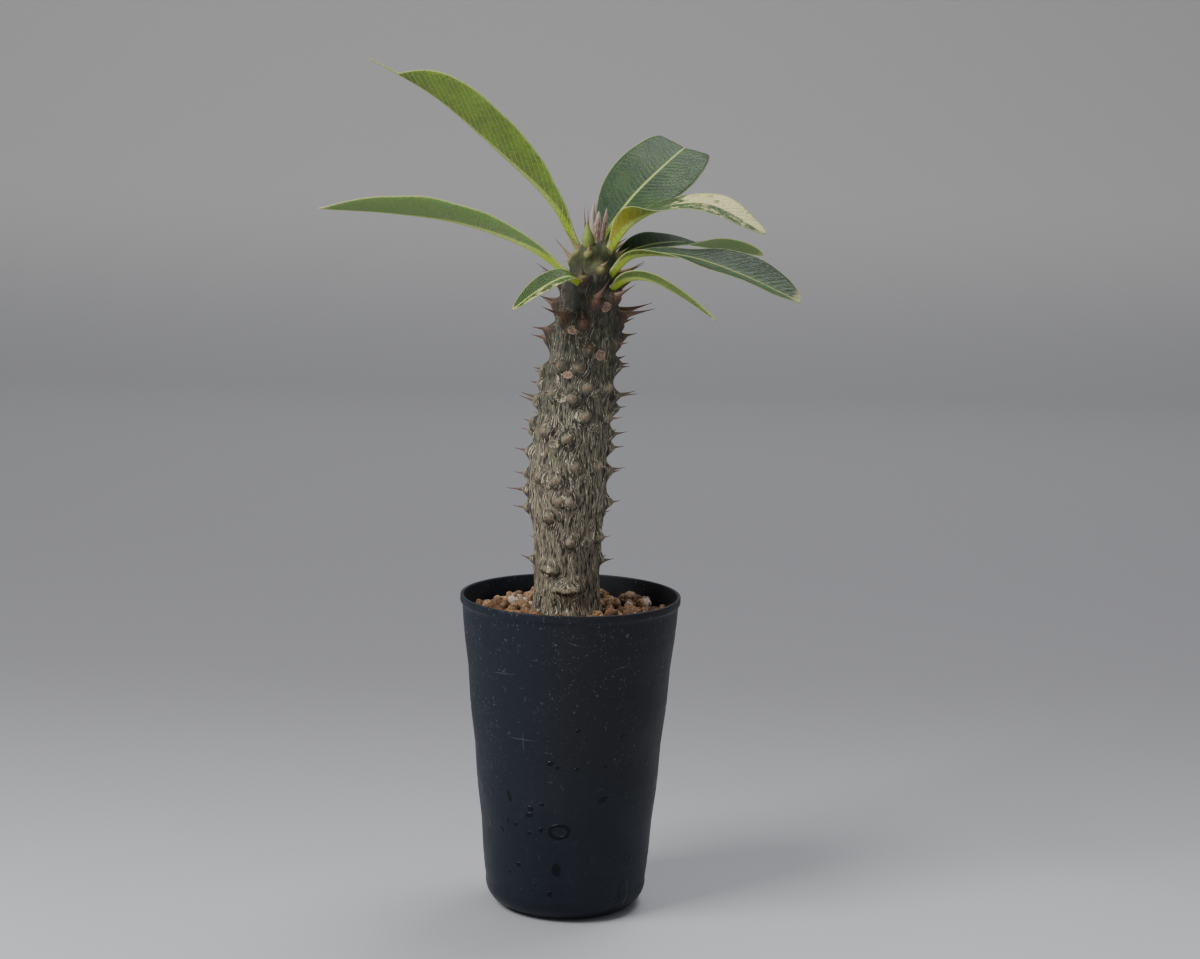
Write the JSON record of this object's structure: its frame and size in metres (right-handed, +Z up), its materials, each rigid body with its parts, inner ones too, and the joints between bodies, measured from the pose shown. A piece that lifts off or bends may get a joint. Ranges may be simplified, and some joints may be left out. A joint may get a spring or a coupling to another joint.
{
  "type": "potted pachypodium baronii",
  "caption": "Young spiny-stemmed succulent with a crown of long leaves, in a deep round black nursery pot filled with coarse grit.",
  "frame": {"origin": "middle of the pot's base, on the surface that it stands on", "axes": "+Z up, along the pot's axis and the trunk; +X to the right of the plant's front; +Y to its back"},
  "size_m": [0.1912, 0.105, 0.3424],
  "materials": {
    "pot_plastic": "matt black moulded plastic",
    "grit": "dry baked clay and pumice grains",
    "bark": "fissured grey-brown bark",
    "leaf_green": "waxy leaf",
    "young_leaf": "downy furled leaf"
  },
  "bodies": {
    "root": {"pot": "pot_plastic", "soil": "grit", "trunk": "bark", "leaf_upper_left": "leaf_green", "leaf_left": "leaf_green", "leaf_lower_left": "leaf_green", "leaf_broad_upper_right": "leaf_green", "leaf_arching_right": "leaf_green", "leaf_back_right": "leaf_green", "leaf_long_right": "leaf_green", "leaf_lower_right": "leaf_green", "young_leaf_1": "young_leaf", "young_leaf_2": "young_leaf", "young_leaf_3": "young_leaf"}
  },
  "joints": []
}
